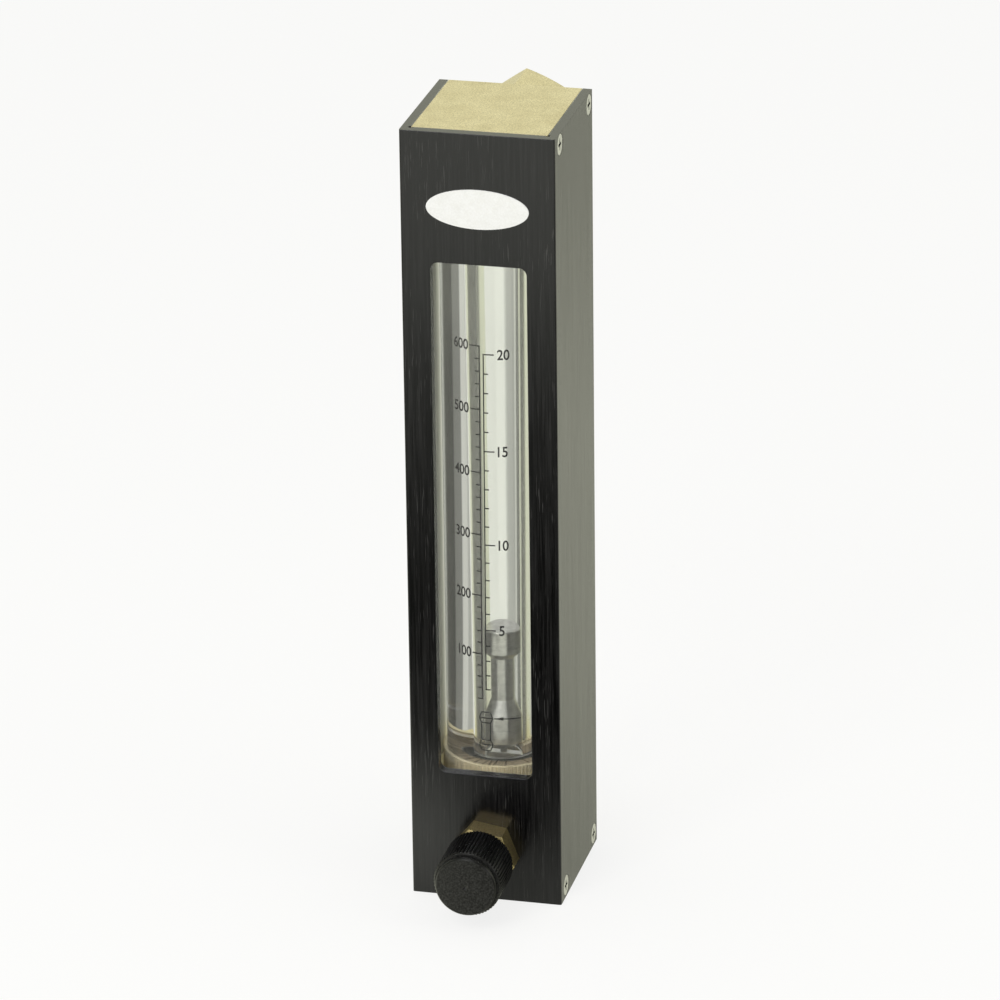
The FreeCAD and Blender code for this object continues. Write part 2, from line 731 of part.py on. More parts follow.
def valve_stem():
    """Stem with knob end, thread, sealed collar and metering needle."""
    thread_end = f"({THREAD_FRONT} - stem_thread_length)"
    collar = "(-bonnet_shank_length + collar_length - collar_play)"
    collar_end = f"({collar} - collar_length)"
    groove = f"({collar} - groove_inset)"
    seat, tip = "-seat_depth", "(-seat_depth - needle_length)"
    knob_end = f"({KNOB_BACK} + insert_length)"
    turned_profile("valve_stem", [
        ("0", tip), ("needle_tip_radius", tip), ("seat_bore_radius - seat_gap", seat),
        ("stem_radius", f"{seat} + needle_cone_length"), ("stem_radius", collar_end),
        (COLLAR_RADIUS, collar_end), (COLLAR_RADIUS, f"{groove} - groove_width"),
        ("groove_radius", f"{groove} - groove_width"), ("groove_radius", groove),
        (COLLAR_RADIUS, groove), (COLLAR_RADIUS, collar), ("stem_shoulder_radius", collar),
        ("stem_shoulder_radius", thread_end), ("stem_thread_radius", thread_end),
        ("stem_thread_radius", THREAD_FRONT), ("stem_radius", THREAD_FRONT),
        ("stem_radius", knob_end), ("0", knob_end)], **VALVE)
    seal_ring("stem_seal", "groove_radius", COLLAR_RADIUS, f"{groove} - groove_width", groove,
              **VALVE)


def valve_seat():
    """Seat bushing pressed against the chamber's rear shoulder."""
    face, back = "-seat_depth", "(-seat_depth - seat_length)"
    turned_profile("valve_seat", [
        ("seat_bore_radius", face), ("seat_radius", face), ("seat_radius", back),
        ("seat_bore_radius + seat_flare", back),
        ("seat_bore_radius", f"{back} + seat_flare")], **VALVE)


def bonnet_seal():
    """Ring between the bonnet's end and the shoulder of its bore."""
    seal_ring("bonnet_seal", "chamber_radius + fit_gap", "bonnet_shank_radius", f"-{BONNET_END}",
              "-bonnet_shank_length", **VALVE)


def control_knob():
    """Moulded knob: fluted body, necked smooth face and a bore for its insert."""
    back = KNOB_BACK
    body_end = f"({back} + knob_length)"
    neck_end = f"({body_end} + knob_neck_length)"
    face = f"({neck_end} + knob_face_thickness)"
    bore = "(insert_radius + insert_gap)"
    bore_end = f"({back} + insert_length + insert_end_gap)"
    body = turned_profile("control_knob", [
        (bore, back), ("knob_radius - knob_edge", back), ("knob_radius", f"{back} + knob_edge"),
        ("knob_radius", f"{body_end} - knob_edge"), ("knob_radius - knob_edge", body_end),
        ("knob_neck_radius", body_end), ("knob_neck_radius", neck_end),
        ("knob_face_radius", neck_end), ("knob_face_radius", f"{face} - knob_face_edge"),
        ("knob_face_radius - knob_face_edge", face), ("dimple_radius", face),
        ("0", f"{face} - dimple_depth"), ("0", bore_end), (bore, bore_end)], **VALVE)
    notch = new_sketch(body, "XY_Plane", "flute", lift=back)
    notch_half = "(flute_half_width * (1 + overcut / flute_depth))"
    outline(notch, [("knob_radius - flute_depth", "0"), ("knob_radius + overcut", notch_half),
                    ("knob_radius + overcut", f"-{notch_half}")])
    flute = pocket(body, notch, "knob_length", name="notch", back=True)
    around(body, flute, "flute_count")
    cross_hole(body)


def cross_hole(body):
    """Radial hole for the set screw, on the knob's underside."""
    hole = new_sketch(body, "XZ_Plane", "set_screw_hole")
    circle(hole, "0", f"{KNOB_BACK} + set_screw_level", "set_screw_radius + fit_gap")
    pocket(body, hole, "knob_radius + overcut", name="radial_hole", back=True)


def knob_insert():
    """Brass bushing moulded into the knob, bored for the stem."""
    back = KNOB_BACK
    end = f"({back} + insert_length)"
    body = turned_profile("knob_insert", [
        ("stem_radius + running_gap", back), ("insert_radius", back), ("insert_radius", end),
        ("stem_radius + running_gap", end)], **VALVE)
    cross_hole(body)


def knob_set_screw():
    """Headless screw with a hexagonal socket, in the knob's radial hole."""
    body = new_body("knob_set_screw")
    tip = "(stem_radius + set_screw_gap)"
    end = f"({tip} + set_screw_length)"
    profile = new_sketch(body, "XZ_Plane", "profile")
    outline(profile, [("0", tip), ("set_screw_radius - set_screw_tip", tip),
                      ("set_screw_radius", f"{tip} + set_screw_tip"), ("set_screw_radius", end),
                      ("0", end)])
    turned(body, profile)
    socket = hexagon(new_sketch(body, "XY_Plane", "socket", lift=end), "hex_key_flats")
    pocket(body, socket, "hex_key_depth", name="hex_socket")
    place(body, y=f"-{FRONT} - {KNOB_BACK} - set_screw_level", z="port_inset", tilt=180)


# ---------------------------------------------------------------- output

def check_document():
    """Stop on any failed object, and on any sub-part without one valid shape."""
    doc.recompute()
    for item in doc.Objects:
        if "Invalid" in item.State or "Error" in item.State:
            raise ValueError(f"{item.Name} failed: {item.State}")
    for body in parts:
        if body.Shape.isNull() or not body.Shape.isValid():
            raise ValueError(f"{body.Label} has no valid shape")


def write_parts():
    os.makedirs("parts", exist_ok=True)
    for body in parts:
        body.Shape.exportStep(os.path.join("parts", f"{body.Label}.step"))
        box = body.Shape.BoundBox
        print(f"{body.Label:20s} solids {len(body.Shape.Solids)}  volume {body.Shape.Volume:10.1f}"
              f"  X {box.XMin:7.2f} {box.XMax:7.2f}  Y {box.YMin:7.2f} {box.YMax:7.2f}"
              f"  Z {box.ZMin:7.2f} {box.ZMax:7.2f}")


fill_sheet()
housing_channel()
window_pane()
oval_plate()
housing_screws()
inlet_block()
outlet_block()
metering_tube()
for place_name, is_lower in (("lower", True), ("upper", False)):
    tube_gland(f"{place_name}_tube_gland", is_lower)
    tube_gasket(f"{place_name}_tube_gasket", is_lower)
    float_stop(f"{place_name}_float_stop", is_lower)
spool_float()
for port_name, port_level in zip(("inlet", "outlet"), PORT_LEVELS):
    port_fitting(f"{port_name}_fitting", port_level)
    fitting_seal(f"{port_name}_fitting_seal", port_level)
valve_bonnet()
bonnet_seal()
valve_seat()
valve_stem()
control_knob()
knob_insert()
knob_set_screw()
check_document()
write_parts()
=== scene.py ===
import json
import math

import bmesh
import bpy
from mathutils import Matrix, Vector

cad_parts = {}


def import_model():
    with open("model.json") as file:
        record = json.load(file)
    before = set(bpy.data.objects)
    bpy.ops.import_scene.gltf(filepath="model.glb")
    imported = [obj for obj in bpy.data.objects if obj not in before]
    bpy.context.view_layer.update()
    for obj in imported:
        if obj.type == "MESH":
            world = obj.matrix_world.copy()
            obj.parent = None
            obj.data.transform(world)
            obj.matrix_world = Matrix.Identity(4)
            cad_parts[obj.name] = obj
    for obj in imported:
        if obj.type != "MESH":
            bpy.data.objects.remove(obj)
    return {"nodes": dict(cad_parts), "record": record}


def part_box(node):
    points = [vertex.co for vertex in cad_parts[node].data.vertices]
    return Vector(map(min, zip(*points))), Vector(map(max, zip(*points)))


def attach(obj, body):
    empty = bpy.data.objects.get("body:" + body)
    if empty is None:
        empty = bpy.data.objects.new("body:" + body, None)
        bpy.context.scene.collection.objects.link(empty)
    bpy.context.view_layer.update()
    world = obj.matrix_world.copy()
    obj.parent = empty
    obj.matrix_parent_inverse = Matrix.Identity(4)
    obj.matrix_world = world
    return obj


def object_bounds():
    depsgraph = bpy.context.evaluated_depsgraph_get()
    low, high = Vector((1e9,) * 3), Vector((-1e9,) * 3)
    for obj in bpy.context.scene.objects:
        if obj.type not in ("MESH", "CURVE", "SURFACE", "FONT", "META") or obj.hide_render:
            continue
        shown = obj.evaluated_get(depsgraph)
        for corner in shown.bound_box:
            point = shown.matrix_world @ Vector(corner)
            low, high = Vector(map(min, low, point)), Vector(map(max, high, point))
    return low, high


# Looks of the flow meter: finishes for every CAD node, the printed scale on the
# glass, threads in the ports, floor, light and camera. Lengths in metres.

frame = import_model()
CAD_LOW, CAD_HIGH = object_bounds()
CENTRE = (CAD_LOW + CAD_HIGH) / 2
CAD_SIDE = -CAD_LOW.x
CHANNEL_LOW, CHANNEL_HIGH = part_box("housing_channel")
TUBE_LOW, TUBE_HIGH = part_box("metering_tube")
MM = 0.001


# ------------------------------------------------------------------ shader kit

# Cosine of the angle between a face and its rounded look, where an edge starts
# and where it is an edge in full.
EDGE_STARTS = 0.99
EDGE_FULL = 0.80


class Finish:
    """One procedural material around a Principled shader, built node by node."""

    def __init__(self, name, **sockets):
        self.material = bpy.data.materials.new(name)
        self.material.use_nodes = True
        self.tree = self.material.node_tree
        self.shader = self.tree.nodes["Principled BSDF"]
        for label, value in sockets.items():
            self.shader.inputs[label.replace("_", " ")].default_value = value
        self.place = self.tree.nodes.new("ShaderNodeTexCoord").outputs["Object"]
        self.normal = None

    def node(self, kind, **settings):
        """New node of a kind, with its settings."""
        made = self.tree.nodes.new(kind)
        for key, value in settings.items():
            setattr(made, key, value)
        return made

    def feed(self, socket, source):
        """Put a plain value into a socket, or link another node's output to it."""
        if isinstance(source, bpy.types.NodeSocket):
            self.tree.links.new(source, socket)
        else:
            socket.default_value = source

    def stretched(self, sizes, turn=(0.0, 0.0, 0.0)):
        """Coordinates in which one unit is the given size along each axis, in metres."""
        mapping = self.node("ShaderNodeMapping")
        self.feed(mapping.inputs["Vector"], self.place)
        mapping.inputs["Rotation"].default_value = turn
        mapping.inputs["Scale"].default_value = [1.0 / size for size in sizes]
        return mapping.outputs["Vector"]

    def noise(self, sizes, detail=2.0, turn=(0.0, 0.0, 0.0)):
        """Smooth noise from 0 to 1 whose spots have the given size along each axis."""
        made = self.node("ShaderNodeTexNoise")
        self.feed(made.inputs["Vector"], self.stretched(sizes, turn))
        made.inputs["Scale"].default_value = 1.0
        made.inputs["Detail"].default_value = detail
        return made.outputs["Fac"]

    def band(self, source, low, high, start=0.0, end=1.0):
        """Carry source from low..high over to start..end, and hold it there outside."""
        made = self.node("ShaderNodeMapRange")
        for label, value in (("Value", source), ("From Min", low), ("From Max", high),
                             ("To Min", start), ("To Max", end)):
            self.feed(made.inputs[label], value)
        return made.outputs["Result"]

    def math(self, operation, *sources):
        made = self.node("ShaderNodeMath", operation=operation)
        for socket, source in zip(made.inputs, sources):
            self.feed(socket, source)
        return made.outputs["Value"]

    def product(self, first, second):
        return self.math("MULTIPLY", first, second)

    def sum(self, first, second):
        return self.math("ADD", first, second)

    def size_of(self, source):
        return self.math("ABSOLUTE", source)

    def blend(self, share, first, second):
        """Colour that runs from first to second as share runs from 0 to 1."""
        made = self.node("ShaderNodeMix", data_type="RGBA")
        self.feed(made.inputs["Factor"], share)
        self.feed(made.inputs["A"], first)
        self.feed(made.inputs["B"], second)
        return made.outputs["Result"]

    def axes(self):
        """The three object coordinates, in metres."""
        split = self.node("ShaderNodeSeparateXYZ")
        self.feed(split.inputs["Vector"], self.place)
        return split.outputs["X"], split.outputs["Y"], split.outputs["Z"]

    def round_edges(self, radius):
        """Let edges shine as if rounded, and return a mask that is 1 along them."""
        bevel = self.node("ShaderNodeBevel", samples=4)
        bevel.inputs["Radius"].default_value = radius
        self.normal = bevel.outputs["Normal"]
        geometry = self.node("ShaderNodeNewGeometry")
        match = self.node("ShaderNodeVectorMath", operation="DOT_PRODUCT")
        self.feed(match.inputs[0], self.normal)
        self.feed(match.inputs[1], geometry.outputs["Normal"])
        return self.band(match.outputs["Value"], EDGE_STARTS, EDGE_FULL)

    def relief(self, height, depth):
        """Bump of a given depth in metres, on top of any earlier one."""
        bump = self.node("ShaderNodeBump")
        bump.inputs["Strength"].default_value = 1.0
        bump.inputs["Distance"].default_value = depth
        self.feed(bump.inputs["Height"], height)
        if self.normal is not None:
            self.feed(bump.inputs["Normal"], self.normal)
        self.normal = bump.outputs["Normal"]

    def done(self, colour, roughness):
        """The material, with its colour, roughness and relief put in place."""
        self.feed(self.shader.inputs["Base Color"], colour)
        self.feed(self.shader.inputs["Roughness"], roughness)
        if self.normal is not None:
            self.feed(self.shader.inputs["Normal"], self.normal)
        return self.material


def clear_to_lamps(finish):
    """Let lamplight through a glass finish, so that what stands behind it is lit."""
    path = finish.node("ShaderNodeLightPath")
    clear = finish.node("ShaderNodeBsdfTransparent")
    mix = finish.node("ShaderNodeMixShader")
    finish.feed(mix.inputs["Fac"], path.outputs["Is Shadow Ray"])
    finish.tree.links.new(finish.shader.outputs["BSDF"], mix.inputs[1])
    finish.tree.links.new(clear.outputs["BSDF"], mix.inputs[2])
    output = finish.tree.nodes["Material Output"]
    finish.tree.links.new(mix.outputs["Shader"], output.inputs["Surface"])


# -------------------------------------------------------------------- finishes

SIDE_WALL = 3.5 * MM
FRONT_WALL = 4.0 * MM
WALL_FAR = 0.10 * MM
WALL_NEAR = 0.05 * MM
SCRATCH_ANGLE = math.radians(38)
GROUND_END = 0.9 * MM
GLASS_IOR = 1.474
ACRYLIC_IOR = 1.49
# Painted shade for the countersinks round the screw heads.
COUNTERSINK_SHADE = (0.03, 0.03, 0.03, 1)


def channel_inside(made, across, back):
    """1 on the faces inside the channel, which were never blackened, else 0."""
    side = CHANNEL_HIGH.x - SIDE_WALL
    front = CHANNEL_LOW.y + FRONT_WALL
    between = made.band(made.size_of(across), side + WALL_FAR, side + WALL_NEAR)
    behind = made.band(back, front - WALL_FAR, front - WALL_NEAR)
    return made.product(between, behind)


def black_anodised():
    """Near-black anodising on aluminium brushed lengthwise, with handling scratches.

    The side walls' outer faces are greyer and more streaked, with fewer scratches.
    The channel's inner faces are bare metal, with painted light that makes them brightest
    towards the back.
    """
    made = Finish("black_anodised", Specular_IOR_Level=0.57)
    made.shader.inputs["Specular Tint"].default_value = (0.88, 0.88, 1.0, 1)
    across, back, _ = made.axes()
    outside = made.band(made.size_of(across), CAD_SIDE - 0.3 * MM, CAD_SIDE - 0.1 * MM)
    edge = made.round_edges(0.5 * MM)
    brushed = made.noise((0.55 * MM, 0.55 * MM, 26 * MM), detail=4)
    cloud = made.noise((14 * MM, 14 * MM, 40 * MM), detail=3)
    streak = made.noise((2 * MM, 2 * MM, 60 * MM), detail=4)
    scratch = made.noise((0.4 * MM, 9 * MM, 9 * MM), detail=1, turn=(0.0, SCRATCH_ANGLE, 0.0))
    marks = made.product(made.band(scratch, 0.64, 0.70), made.band(cloud, 0.42, 0.62))
    marks = made.product(marks, made.band(outside, 0.0, 1.0, 1.0, 0.2))

    tone = made.blend(made.band(brushed, 0.40, 0.70), (0.0003, 0.0003, 0.0003, 1),
                      (0.014, 0.0136, 0.0133, 1))
    tone = made.blend(made.band(cloud, 0.35, 0.7, 0.0, 0.6), tone, (0.003, 0.0029, 0.0028, 1))
    tone = made.blend(made.product(marks, 0.35), tone, (0.085, 0.083, 0.080, 1))
    tone = made.blend(made.product(edge, 0.35), tone, (0.10, 0.10, 0.096, 1))
    tone = made.blend(made.product(outside, made.band(streak, 0.35, 0.70)), tone,
                      (0.032, 0.032, 0.029, 1))

    bare = channel_inside(made, across, back)
    metal = made.blend(brushed, (0.48, 0.48, 0.43, 1), (0.64, 0.64, 0.58, 1))
    # Painted light: the bare inner faces turn paler towards the open back, as if lit from
    # behind.
    metal = made.blend(made.band(back, 10 * MM, 14 * MM), metal, (0.94, 0.94, 0.89, 1))
    tone = made.blend(bare, tone, metal)
    made.feed(made.shader.inputs["Metallic"],
              made.product(bare, made.band(back, 6 * MM, 12 * MM, 0.35, 1.0)))

    made.relief(made.product(brushed, made.band(outside, 0.0, 1.0, 1.0, 2.6)), 0.03 * MM)
    made.relief(marks, 0.015 * MM)
    rough = made.sum(made.band(brushed, 0.3, 0.7, 0.17, 0.25),
                     made.product(bare, made.band(back, 6 * MM, 12 * MM, 0.45, 0.10)))
    return made.done(tone, rough)


def matt_brass(name, light, dark, rough, metallic=1.0):
    """Fine milled brass: a sandy grain, faint cutter marks and soft staining."""
    made = Finish(name, Metallic=metallic)
    edge = made.round_edges(0.3 * MM)
    grain = made.noise((0.45 * MM,) * 3, detail=4)
    stain = made.noise((9 * MM,) * 3, detail=4)
    milled = made.noise((22 * MM, 0.35 * MM, 6 * MM), detail=2)
    tone = made.blend(made.band(grain, 0.36, 0.64), dark, light)
    tone = made.blend(made.band(stain, 0.35, 0.75, 0.0, 0.35), tone, dark)
    tone = made.blend(made.product(edge, 0.4), tone, [min(1.0, 1.15 * c) for c in light])
    made.relief(grain, 0.02 * MM)
    made.relief(milled, 0.006 * MM)
    return made.done(tone, made.band(stain, 0.3, 0.7, rough, rough + 0.12))


def brass():
    return matt_brass("brass", (0.87, 0.78, 0.53, 1), (0.54, 0.475, 0.305, 1), 0.40)


def gland_brass():
    """Paler brass whose skin also scatters light."""
    return matt_brass("gland_brass", (0.86, 0.77, 0.54, 1), (0.60, 0.51, 0.33, 1), 0.42, 0.4)


def dark_brass():
    return matt_brass("dark_brass", (0.86, 0.72, 0.38, 1), (0.56, 0.45, 0.20, 1), 0.34)


def clear_glass():
    """Thick tube glass: greenish in depth, with faint drawing lines and ground ends."""
    made = Finish("clear_glass", IOR=GLASS_IOR)
    made.shader.inputs["Transmission Weight"].default_value = 1.0
    streaks = made.noise((2 * MM, 2 * MM, 90 * MM), detail=2)
    tone = made.blend(streaks, (0.966, 0.980, 0.954, 1), (0.984, 0.990, 0.972, 1))
    _, _, level = made.axes()
    from_middle = made.size_of(made.sum(level, -(TUBE_LOW.z + TUBE_HIGH.z) / 2))
    half = (TUBE_HIGH.z - TUBE_LOW.z) / 2
    ground = made.band(from_middle, half - GROUND_END, half - GROUND_END + 0.1 * MM)
    made.relief(streaks, 0.004 * MM)
    made.done(tone, made.sum(made.band(streaks, 0.3, 0.7, 0.0, 0.012),
                             made.product(ground, 0.55)))
    clear_to_lamps(made)
    return made.material


def clear_acrylic():
    """Clear pane with hair scratches that only show where light catches them."""
    made = Finish("clear_acrylic", IOR=ACRYLIC_IOR)
    made.shader.inputs["Transmission Weight"].default_value = 1.0
    wiped = made.noise((0.2 * MM, 0.2 * MM, 14 * MM), detail=2)
    tone = made.blend(wiped, (0.970, 0.978, 0.965, 1), (0.985, 0.990, 0.980, 1))
    made.done(tone, made.band(wiped, 0.60, 0.80, 0.0, 0.06))
    clear_to_lamps(made)
    return made.material


def white_enamel():
    """White enamel, glossy, with a faint peel and a few greyer specks."""
    made = Finish("white_enamel", Coat_Weight=0.6, Coat_Roughness=0.06)
    peel = made.noise((0.9 * MM,) * 3, detail=2)
    speck = made.noise((3 * MM,) * 3, detail=3)
    tone = made.blend(made.band(speck, 0.4, 0.7), (0.82, 0.82, 0.81, 1), (0.78, 0.78, 0.76, 1))
    made.relief(peel, 0.006 * MM)
    return made.done(tone, made.band(peel, 0.3, 0.7, 0.22, 0.32))


def turned_steel(name, light, dark, rough, shaded_below=None):
    """Steel with fine turning lines and small darker patches.

    What lies nearer to the meter's middle plane than the given depth is darkened: painted
    shade in the countersinks round the screw heads.
    """
    made = Finish(name, Metallic=1.0)
    edge = made.round_edges(0.15 * MM)
    lines = made.noise((40 * MM, 40 * MM, 0.12 * MM), detail=2)
    patch = made.noise((2.5 * MM,) * 3, detail=3)
    tone = made.blend(made.band(patch, 0.35, 0.7), light, dark)
    tone = made.blend(made.product(edge, 0.5), tone, [min(1.0, 1.2 * c) for c in light])
    if shaded_below is not None:
        across, _, _ = made.axes()
        # Painted shade: faces that lie deeper in than the given depth are darkened.
        deep = made.band(made.size_of(across), shaded_below, shaded_below - 0.4 * MM)
        tone = made.blend(deep, tone, COUNTERSINK_SHADE)
    made.relief(lines, 0.006 * MM)
    return made.done(tone, made.band(lines, 0.3, 0.7, rough, rough + 0.1))


def plated_steel():
    return turned_steel("plated_steel", (0.90, 0.90, 0.88, 1), (0.72, 0.72, 0.70, 1), 0.26,
                        shaded_below=CAD_SIDE - 0.3 * MM)


def stainless_steel():
    return turned_steel("stainless_steel", (0.62, 0.61, 0.58, 1), (0.46, 0.45, 0.43, 1), 0.26)


def dark_steel():
    return turned_steel("dark_steel", (0.09, 0.09, 0.09, 1), (0.05, 0.05, 0.05, 1), 0.35)


def bronze_ptfe():
    """Filled plastic of the gaskets: matt, grainy and tan."""
    made = Finish("bronze_ptfe")
    grain = made.noise((0.3 * MM,) * 3, detail=3)
    tone = made.blend(grain, (0.62, 0.53, 0.38, 1), (0.82, 0.74, 0.58, 1))
    made.relief(grain, 0.02 * MM)
    return made.done(tone, made.band(grain, 0.3, 0.7, 0.5, 0.7))


def black_rubber():
    """Matt seal rubber with a fine grain."""
    made = Finish("black_rubber")
    grain = made.noise((0.4 * MM,) * 3, detail=3)
    tone = made.blend(grain, (0.016, 0.016, 0.016, 1), (0.032, 0.032, 0.031, 1))
    made.relief(grain, 0.02 * MM)
    return made.done(tone, made.band(grain, 0.3, 0.7, 0.6, 0.8))


def black_plastic():
    """Moulded phenolic: worn, slightly greyer edges, and a pebbled skin in front."""
    made = Finish("black_plastic")
    edge = made.round_edges(0.12 * MM)
    pebble = made.noise((0.7 * MM,) * 3, detail=4)
    cloud = made.noise((5 * MM,) * 3, detail=3)
    facing = made.node("ShaderNodeSeparateXYZ")
    made.feed(facing.inputs["Vector"], made.node("ShaderNodeNewGeometry").outputs["Normal"])
    flat = made.band(facing.outputs["Y"], -0.7, -0.95)
    skin = made.blend(made.band(pebble, 0.38, 0.66), (0.004, 0.004, 0.004, 1),
                      (0.034, 0.034, 0.032, 1))
    tone = made.blend(flat, (0.002, 0.002, 0.002, 1), skin)
    tone = made.blend(made.product(edge, 0.5), tone, (0.085, 0.085, 0.080, 1))
    made.relief(made.product(pebble, made.band(flat, 0.0, 1.0, 0.05, 1.0)), 0.15 * MM)
    rough = made.sum(made.band(cloud, 0.3, 0.7, 0.26, 0.36), made.product(flat, 0.05))
    return made.done(tone, rough)


def print_ink():
    """Matt black ink of the scales."""
    made = Finish("print_ink", Specular_IOR_Level=0.2)
    speck = made.noise((0.25 * MM,) * 3, detail=2)
    tone = made.blend(speck, (0.006, 0.006, 0.006, 1), (0.014, 0.014, 0.014, 1))
    return made.done(tone, made.band(speck, 0.3, 0.7, 0.55, 0.7))


FINISHES = {make.__name__: make() for make in (
    black_anodised, brass, gland_brass, dark_brass, clear_glass, clear_acrylic,
    white_enamel, plated_steel, stainless_steel, dark_steel, bronze_ptfe, black_rubber,
    black_plastic)}
INK = print_ink()

OWN_FINISH = {"lower_tube_gland": "gland_brass", "upper_tube_gland": "gland_brass"}


def dress_nodes():
    """Give each CAD node the finish of its slot in the record, or one of its own."""
    for part in frame["record"]["subparts"]:
        slots = frame["nodes"][part["node"]].data.materials
        finish = FINISHES[OWN_FINISH.get(part["node"], part["material_slot"])]
        if not slots:
            slots.append(finish)
        for index in range(len(slots)):
            slots[index] = finish


def added_piece(name, mesh, finish):
    """Turn a finished mesh into an object that rides with the meter's own body."""
    bmesh.ops.recalc_face_normals(mesh, faces=mesh.faces)
    data = bpy.data.meshes.new(name)
    mesh.to_mesh(data)
    mesh.free()
    data.materials.append(finish)
    made = bpy.data.objects.new(name, data)
    bpy.context.scene.collection.objects.link(made)
    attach(made, "frame")


# --------------------------------------------------------------- printed scale
# Everything printed lies on the tube's outer surface and is drawn flat first:
# u runs round the tube from the line that faces the window, v is the height.

TUBE_AXIS = (TUBE_LOW + TUBE_HIGH) / 2
PRINT_LIFT = 0.04 * MM
PRINT_RADIUS = (TUBE_HIGH.x - TUBE_LOW.x) / 2 + PRINT_LIFT

LINE_WIDTH = 0.50 * MM
LINE_PIECES = 12
STROKE_PIECES = 4
PRINT_LEAN = 0.0047
DIGIT_HEIGHT = 4.15 * MM
DIGIT_SQUEEZE = 0.84
DIGIT_WEIGHT = 0.018

# Each scale: full value; the curve that gives a value's height above the tube's
# foot, in mm; place of its line round the tube, in mm; direction of its ticks; step
# of the ticks and of the numbers; gap between long ticks and numbers, in mm.
SCALES = {
    "left": {"full": 600, "curve": (24.1, 133.2, 23.0, -10.2), "line": -2.42, "side": -1,
             "step": 20, "labelled": 100, "number_gap": 0.5},
    "right": {"full": 20, "curve": (27.05, 106.1, 55.2, -21.4), "line": -0.86, "side": 1,
              "step": 1, "labelled": 5, "number_gap": 1.2},
}
SHORT_TICK = 1.75 * MM
LONG_TICK = 3.95 * MM


def wrapped(u, v):
    """Point on the tube for a flat print position, with the print's slight lean."""
    lean = PRINT_LEAN * (v - (TUBE_HIGH.z - TUBE_LOW.z) / 2)
    angle = (u + lean) / PRINT_RADIUS
    return Vector((TUBE_AXIS.x + PRINT_RADIUS * math.sin(angle),
                   TUBE_AXIS.y - PRINT_RADIUS * math.cos(angle), TUBE_LOW.z + v))


def stroke(mesh, start, end, pieces=STROKE_PIECES):
    """Flat bar between two print positions, in pieces short enough to follow the tube."""
    start, end = Vector(start), Vector(end)
    along = (end - start).normalized()
    side = Vector((-along.y, along.x)) * LINE_WIDTH / 2
    edges = []
    for i in range(pieces + 1):
        middle = start.lerp(end, i / pieces)
        edges.append([mesh.verts.new(wrapped(*(middle + offset))) for offset in (side, -side)])
    for (a, b), (c, d) in zip(edges, edges[1:]):
        mesh.faces.new((a, b, d, c))


def scale_height(scale, value):
    """Height of a value above the tube's foot."""
    share = value / scale["full"]
    return sum(c * share ** power for power, c in enumerate(scale["curve"])) * MM


def tick_values(scale):
    return range(scale["step"], scale["full"] + 1, scale["step"])


def scale_lines(side, scale):
    """A scale's upright line with its short and long ticks."""
    mesh = bmesh.new()
    line = scale["line"] * MM
    values = tick_values(scale)
    low, high = scale_height(scale, values[0]), scale_height(scale, values[-1])
    half = LINE_WIDTH / 2
    stroke(mesh, (line, low - half), (line, high + half), pieces=LINE_PIECES)
    for value in values:
        length = LONG_TICK if value % scale["labelled"] == 0 else SHORT_TICK
        level = scale_height(scale, value)
        stroke(mesh, (line, level), (line + scale["side"] * length, level))
    added_piece(f"tube_scale_{side}", mesh, INK)


def flat_number(text):
    """Mesh of a number in the plain built-in face."""
    curve = bpy.data.curves.new(f"number_{text}", "FONT")
    curve.body = text
    curve.size = 1.0
    curve.offset = DIGIT_WEIGHT
    curve.align_x = "CENTER"
    carrier = bpy.data.objects.new("number_carrier", curve)
    bpy.context.scene.collection.objects.link(carrier)
    bpy.context.view_layer.update()
    flat = bpy.data.meshes.new_from_object(
        carrier.evaluated_get(bpy.context.evaluated_depsgraph_get()))
    bpy.data.objects.remove(carrier)
    bpy.data.curves.remove(curve)
    return flat


def scale_numbers(side, scale):
    """A scale's numbers, each centred on its tick's height."""
    mesh = bmesh.new()
    for value in tick_values(scale):
        if value % scale["labelled"]:
            continue
        flat = flat_number(str(value))
        tops = [v.co.y for v in flat.vertices]
        sides = [v.co.x for v in flat.vertices]
        size = DIGIT_HEIGHT / (max(tops) - min(tops))
        half = (max(sides) - min(sides)) / 2 * size * DIGIT_SQUEEZE
        reach = LONG_TICK + scale["number_gap"] * MM + half
        middle = scale["line"] * MM + scale["side"] * reach
        centre_x = (max(sides) + min(sides)) / 2
        centre_y = (max(tops) + min(tops)) / 2
        level = scale_height(scale, value)
        spots = [mesh.verts.new(wrapped(middle + (v.co.x - centre_x) * size * DIGIT_SQUEEZE,
                                        level + (v.co.y - centre_y) * size))
                 for v in flat.vertices]
        for face in flat.polygons:
            mesh.faces.new([spots[i] for i in face.vertices])
        bpy.data.meshes.remove(flat)
    added_piece(f"tube_numbers_{side}", mesh, INK)


# Reading mark below the scale: a small float outline with an arrow at the reading edge.
MARK_MIDDLE = -1.05 * MM
MARK_HEAD_HALF = 2.65 * MM
MARK_NECK_HALF = 1.75 * MM
MARK_LEVEL = 20.7 * MM
MARK_DROP = 10.9 * MM
MARK_HEAD_UP = 2.4 * MM
MARK_HEAD_DOWN = 1.9 * MM
ARROW_LENGTH = 10.2 * MM
ARROW_HEAD = 3.6 * MM
ARROW_HALF = 0.75 * MM


